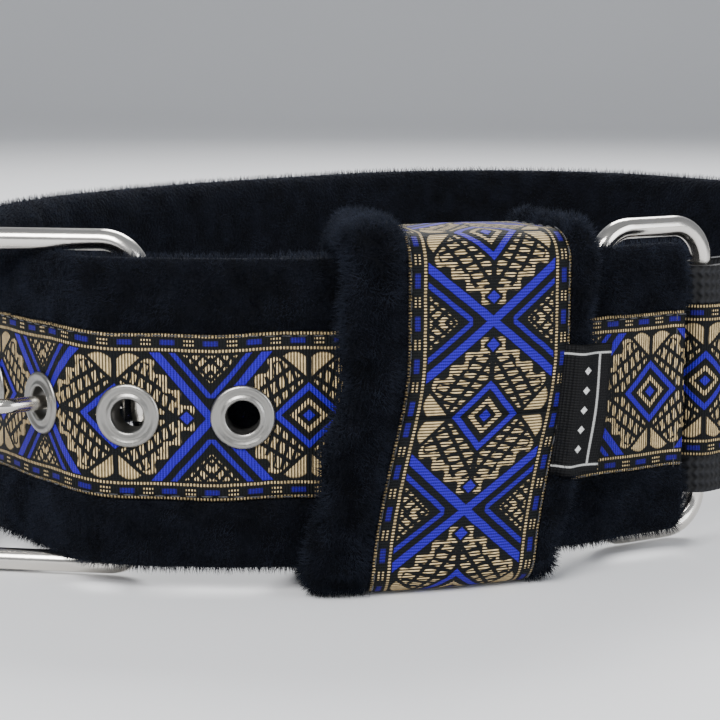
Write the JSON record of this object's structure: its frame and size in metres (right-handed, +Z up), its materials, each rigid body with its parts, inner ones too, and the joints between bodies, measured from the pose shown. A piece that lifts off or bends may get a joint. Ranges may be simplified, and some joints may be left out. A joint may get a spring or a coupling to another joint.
{
  "type": "martingale dog collar",
  "caption": "Martingale dog collar: plush-lined strap with a woven patterned ribbon, prong buckle, eyelets, sliding keeper, and a control loop with a lead ring.",
  "frame": {"origin": "middle of the keeper's foot, the lowest face of the collar as it stands on its edge", "axes": "+Z up across the strap's width, -Y outward from the front strap, +X towards the control loop"},
  "size_m": [0.1977, 0.1863, 0.0546],
  "materials": {
    "plush": "soft pile",
    "webbing": "woven",
    "ribbon": "woven jacquard, satin",
    "label": "woven satin",
    "nickel": "polished nickel plate",
    "eyelet": "satin"
  },
  "bodies": {
    "collar": {"main_webbing": "webbing", "main_lining": "plush", "main_facing": "plush", "main_ribbon": "ribbon", "eyelet_grommets": "eyelet", "eyelet_washers": "eyelet", "buckle_webbing": "webbing", "buckle_lining": "plush", "buckle_facing": "plush"},
    "buckle": {"buckle_frame": "nickel"},
    "prong": {"buckle_prong": "nickel"},
    "keeper": {"keeper_plush": "plush", "keeper_ribbon": "ribbon", "keeper_label": "label"},
    "front_ring_body": {"front_ring": "nickel"},
    "rear_ring_body": {"rear_ring": "nickel"},
    "control_loop": {"loop_webbing": "webbing", "loop_ribbon": "ribbon", "loop_tab": "webbing"},
    "lead_ring": {"d_ring": "nickel"}
  },
  "joints": [
    {"name": "frame_tilt", "type": "hinge", "parent": "collar", "child": "buckle", "pos_m": [-0.04651, -0.00049, 0.0273], "axis": [0, 0, 1], "range_deg": [-18, 0]},
    {"name": "prong_play", "type": "hinge", "parent": "collar", "child": "prong", "pos_m": [-0.04651, -0.00049, 0.0273], "axis": [0, 0, 1], "range_deg": [0, 1]},
    {"name": "keeper_slide", "type": "hinge", "parent": "collar", "child": "keeper", "pos_m": [-0.03115, 0.09878, 0.0273], "axis": [0, 0, 1], "range_deg": [-11, 1.5]},
    {"name": "front_ring_swing", "type": "hinge", "parent": "collar", "child": "front_ring_body", "pos_m": [0.02502, 0.0155, 0.0273], "axis": [0, 0, 1], "range_deg": [-2.5, 2.5]},
    {"name": "rear_ring_swing", "type": "hinge", "parent": "collar", "child": "rear_ring_body", "pos_m": [0.09295, 0.09421, 0.0273], "axis": [0, 0, 1], "range_deg": [-2.5, 2.5]},
    {"name": "loop_shift", "type": "slide", "parent": "collar", "child": "control_loop", "axis": [0.7548, 0.656, 0], "range_m": [-0.001, 0.0015]},
    {"name": "lead_ring_swing", "type": "hinge", "parent": "control_loop", "child": "lead_ring", "pos_m": [0.07567, 0.04486, 0.0273], "axis": [0, 0, 1], "range_deg": [-75, 75]}
  ]
}
